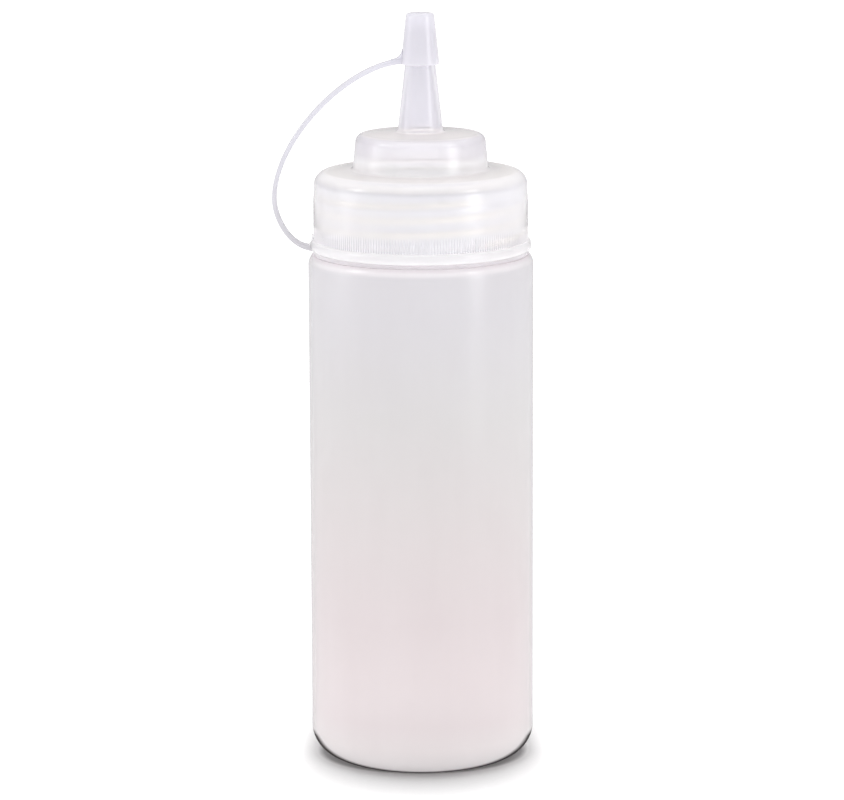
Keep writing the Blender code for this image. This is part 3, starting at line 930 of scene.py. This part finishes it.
def sweep_paper(name):
    """The white floor: paper that glows, except in a painted shade round the object's foot.

    The shade starts at the foot and reaches further towards the front than to the sides.
    Behind the object it is drawn out and fades. A painted dark contact shadow follows the foot.
    """
    mat = bpy.data.materials.new(name)
    mat.use_nodes = True
    n = Nodes(mat.node_tree)
    place = n.add("ShaderNodeTexCoord").outputs["Object"]
    split = n.add("ShaderNodeSeparateXYZ")
    n.put(split.inputs[0], place)
    ahead = n.maths("MINIMUM", split.outputs["Y"], 0.0)
    behind = n.maths("MULTIPLY", n.maths("MAXIMUM", split.outputs["Y"], 0.0), SHADE_BEHIND)
    drawn_out = n.add("ShaderNodeCombineXYZ", X=split.outputs["X"], Y=n.maths("ADD", ahead, behind))
    drawn_split = n.add("ShaderNodeSeparateXYZ")
    n.put(drawn_split.inputs[0], drawn_out.outputs[0])
    radius = n.radius(drawn_split)
    towards_front = n.maths("DIVIDE", n.maths("MULTIPLY", ahead, -1.0), radius)
    front = n.maths("MULTIPLY", towards_front, towards_front)
    starts = n.span(front, 0.0, 1.0, SHADE_START_SIDE, SHADE_START_FRONT)
    ends = n.span(front, 0.0, 1.0, SHADE_END_SIDE, SHADE_END_FRONT)
    sideways = n.span(radius, starts, ends, 0.0, 1.0)
    backwards = n.span(split.outputs["Y"], SHADE_BACK_START, SHADE_BACK_END, 0.0, 1.0)
    level = n.maths("MAXIMUM", sideways, backwards)
    speckle = n.span(n.noise(place, PAPER_SPECKLE), 0.3, 0.7, -0.01, 0.01)
    deep = n.span(front, 0.0, 1.0, SHADE_DEEP_SIDE, SHADE_DEEP_FRONT)
    tone = n.maths("ADD", n.span(level, 0.0, 1.0, deep, PAPER_TONE), speckle)
    touch = n.span(front, 0.0, 1.0, CONTACT_SHADOW_SIDE, CONTACT_SHADOW_FRONT)
    # Painted dark contact shadow along the foot
    contact_shadow = n.span(n.maths("SUBTRACT", radius, touch), 0.0, CONTACT_SHADOW_FADE, CONTACT_SHADOW_DEEP, 1.0)
    skin = n.add("ShaderNodeBsdfPrincipled", Roughness=0.6)
    n.put(skin.inputs["Base Color"], n.maths("MULTIPLY", tone, contact_shadow))
    skin.inputs["Specular IOR Level"].default_value = 0.1
    skin.inputs["Emission Color"].default_value = (1.0, 1.0, 1.0, 1.0)
    n.put(skin.inputs["Emission Strength"], n.maths("MULTIPLY", level, FLOOR_GLOW))
    out = n.add("ShaderNodeOutputMaterial")
    n.put(out.inputs["Surface"], skin.outputs[0])
    return mat


# ---------------------------------------------------------------- the object


def dress(obj, mat):
    """Give a piece its material."""
    obj.data.materials.clear()
    obj.data.materials.append(mat)


def add_piece(obj, mat, body, whole=False):
    """Dress a piece and put it on its body. A whole piece takes the place of the CAD's."""
    dress(obj, mat)
    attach(obj, body)
    if whole:
        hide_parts(body)


def build_rigid_pieces(bottle_mat, lid_mat, tether_mat, strap_mat, washer_mat):
    """Everything but the strap, each piece on its own body."""
    add_piece(bottle_shell(), bottle_mat, "bottle", whole=True)
    add_piece(pinch_seam(), bottle_mat, "bottle")
    add_piece(lid_shell(), lid_mat, "lid", whole=True)
    add_piece(washer_ring(), washer_mat, "seal_washer", whole=True)
    add_piece(ring_bead(), tether_mat, "tether_ring", whole=True)
    add_piece(ring_web(), tether_mat, "tether_ring")
    add_piece(cap_cone(), tether_mat, "tip_cap", whole=True)
    add_piece(cap_web(), strap_mat, "tip_cap")


def build_strap(strap_mat):
    """One length of strap across each joint, meeting at the middles of the links."""
    points = strap_midline()
    lengths = travelled(points)
    at_joint = []
    for name in STRAP_JOINTS:
        x, _, z = JOINTS[name]["pos_m"]
        gaps = [(point - Vector((x, z))).length for point in points]
        at_joint.append(lengths[gaps.index(min(gaps))])
    middles = [(a + b) / 2 for a, b in zip(at_joint[:-1], at_joint[1:])]
    starts = [-STRAP_INTO_RING] + middles
    ends = middles + [lengths[-1] + STRAP_INTO_CAP]
    for i, name in enumerate(STRAP_JOINTS):
        piece = strap_piece(f"strap_{i + 1}", points, lengths, starts[i], ends[i])
        dress(piece, strap_mat)
        if i < len(STRAP_JOINTS) - 1:
            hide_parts(f"strap_link_{i + 1}")
        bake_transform(piece)


# ---------------------------------------------------------------- the studio


def area_light(name, place, target, width, height, power):
    """A rectangular light that faces a target."""
    data = bpy.data.lights.new(name, "AREA")
    data.shape = "RECTANGLE"
    data.size = width
    data.size_y = height
    data.energy = power
    lamp = bpy.data.objects.new(name, data)
    lamp.location = place
    lamp.rotation_euler = (Vector(target) - Vector(place)).to_track_quat("-Z", "Y").to_euler()
    bpy.context.scene.collection.objects.link(lamp)
    return lamp


def build_world():
    """A white tent: light from all round, a little stronger from above."""
    world = bpy.data.worlds.new("tent")
    world.use_nodes = True
    n = Nodes(world.node_tree)
    place = n.add("ShaderNodeTexCoord").outputs["Generated"]
    split = n.add("ShaderNodeSeparateXYZ")
    n.put(split.inputs[0], place)
    up = n.span(split.outputs["Z"], -0.1, 0.9, TENT_FOOT, TENT_ROOF)
    front = n.span(split.outputs["Y"], -1.0, 0.2, TENT_OPENING * TENT_WALL, TENT_WALL)
    sky = n.add("ShaderNodeBackground", Color=TENT_COLOUR)
    n.put(sky.inputs["Strength"], n.maths("MULTIPLY", up, front))
    out = n.add("ShaderNodeOutputWorld")
    n.put(out.inputs["Surface"], sky.outputs[0])
    bpy.context.scene.world = world


def build_floor():
    """A wide round sheet just under the object's foot."""
    bm = bmesh.new()
    rings = []
    for radius in FLOOR_RADII:
        ring = []
        for k in range(FLOOR_CORNERS):
            turn = 2 * math.pi * k / FLOOR_CORNERS
            ring.append(bm.verts.new((radius * math.cos(turn), radius * math.sin(turn), -FLOOR_DROP)))
        rings.append(ring)
    bm.faces.new(rings[0])
    for a, b in zip(rings[:-1], rings[1:]):
        for k in range(FLOOR_CORNERS):
            m = (k + 1) % FLOOR_CORNERS
            bm.faces.new((a[k], a[m], b[m], b[k]))
    bmesh.ops.recalc_face_normals(bm, faces=bm.faces)
    mesh = bpy.data.meshes.new("floor")
    bm.to_mesh(mesh)
    bm.free()
    floor = bpy.data.objects.new("floor", mesh)
    bpy.context.scene.collection.objects.link(floor)
    mesh.materials.append(sweep_paper("sweep_paper"))


def build_camera():
    """A long lens, a little above the lid, looking slightly down, with a very small roll."""
    data = bpy.data.cameras.new("camera")
    data.sensor_width = SENSOR / MM
    data.lens = LENS / MM
    data.shift_x = CAMERA_SHIFT
    data.clip_start, data.clip_end = CAMERA_CLIP
    camera = bpy.data.objects.new("camera", data)
    pitch = Matrix.Rotation(math.radians(90.0 - CAMERA_PITCH_DEG), 4, "X")
    roll = Matrix.Rotation(math.radians(CAMERA_ROLL_DEG), 4, "Z")
    camera.matrix_world = Matrix.Translation(CAMERA_PLACE) @ pitch @ roll
    bpy.context.scene.collection.objects.link(camera)
    bpy.context.scene.camera = camera


def side_box(name, azimuth_deg, centre_z, width, height, glare):
    """A softbox a metre away, turned round from the camera's side, for highlights only."""
    turn = math.radians(azimuth_deg)
    place = (math.sin(turn), -math.cos(turn), centre_z)
    lamp = area_light(name, place, SIDE_BOXES_AIM_AT, width, height, glare * width * height)
    lamp.visible_diffuse = False


def build_studio():
    """The tent, the floor, the lights and the camera."""
    build_world()
    build_floor()
    fill = area_light("top_fill", target=LIGHTS_AIM_AT, **FILL)
    fill.visible_glossy = False
    area_light("top_key", target=LIGHTS_AIM_AT, **KEY)
    for name, measures in SIDE_BOXES.items():
        side_box(name, *measures)
    build_camera()
    scene = bpy.context.scene
    scene.view_settings.view_transform = "Standard"
    scene.cycles.max_bounces = 20
    scene.cycles.diffuse_bounces = 12
    scene.cycles.transmission_bounces = 16
    scene.cycles.transparent_max_bounces = 24


# ---------------------------------------------------------------- the build


# Tones are (height, red, green, blue), in display values. Some bands are painted light and painted
# shade, marked where they stand.
TETHER = polyethylene(
    "tether_polyethylene",
    tones=[
        (RING_TOP, 255, 255, 255),
        (CAP_RIM, 247, 246, 251),
        (CAP_TOP - 6 * MM, 246, 245, 250),
        (CAP_TOP, 240, 239, 246),
    ],
    clear=0.08,
    haze=0.45,
    glow=0.55,
    roughness=0.2,
    edge=0.6,
    mottle=0.5,
    grain=0.004,
)
STRAP = polyethylene(
    "strap_polyethylene",
    tones=[
        (RING_BOTTOM, 202, 200, 205),
        (STRAP_LEFTMOST.y + 8 * MM, 216, 215, 223),
        (CAP_RIM, 224, 223, 232),
    ],
    clear=0.3,
    haze=0.4,
    glow=0.3,
    roughness=0.2,
    edge=0.9,
    mottle=0.5,
    grain=0.004,
)
LID = polyethylene(
    "lid_polyethylene",
    tones=[
        (LID_FOOT, 254, 253, 254),
        (SHELF_TOP - 4 * MM, 253, 252, 254),
        # Painted shade on the skirt's rounded top edge
        (SHELF_TOP - 2.6 * MM, 248, 247, 250),
        (SHELF_TOP - 0.2 * MM, 247, 246, 248),
        # Painted light on the shelf's top and the foot of the drum
        (SHELF_TOP + 0.1 * MM, 255, 252, 249),
        (SHELF_TOP + 3.2 * MM, 255, 255, 255),
        (SHELF_TOP + 5 * MM, 237, 235, 239),
        (DRUM_TOP - 0.3 * MM, 238, 236, 241),
        (DRUM_TOP + 0.1 * MM, 255, 251, 248),
        (DRUM_TOP + 0.6 * MM, 252, 249, 248),
        (DRUM_TOP + 2 * MM, 240, 239, 244),
        (NOZZLE_TIP, 229, 228, 233),
    ],
    clear=0.9,
    haze=0.22,
    glow=0.74,
    roughness=0.2,
    edge=0.6,
    mottle=0.5,
    grain=0.004,
)
BOTTLE = polyethylene(
    "bottle_polyethylene",
    tones=[
        # Painted light: the lowest bands, up to 14 mm, are lightened against the floor's shade
        (0.0, 255, 255, 255),
        (2 * MM, 255, 254, 254),
        (7 * MM, 252, 248, 248),
        (14 * MM, 246, 239, 240),
        (41 * MM, 236, 229, 230),
        (68 * MM, 232, 228, 228),
        (95 * MM, 229, 228, 228),
        (122 * MM, 230, 229, 232),
        (SHOULDER_TOP - 2.3 * MM, 232, 231, 234),
        # Painted highlight: a bright band along the shoulder's round
        (SHOULDER_TOP - 1.4 * MM, 255, 253, 255),
        (SHOULDER_TOP - 0.7 * MM, 255, 252, 254),
        (SHOULDER_TOP - 0.2 * MM, 240, 233, 237),
        (SHOULDER_TOP, 242, 235, 239),
    ],
    clear=0.3,
    haze=0.5,
    glow=0.5,
    roughness=0.21,
    edge=0.95,
    mottle=0.7,
    grain=0.003,
    foot=0.9,
    warm={
        "radius": NECK_R + 0.2 * MM,
        "from_z": SHOULDER_TOP + 0.4 * MM,
        "wall": linear(243, 245, 248),
        "thread": linear(255, 252, 243),
    },
)
build_rigid_pieces(BOTTLE, LID, TETHER, STRAP, foam("washer_foam"))
build_strap(STRAP)
build_studio()
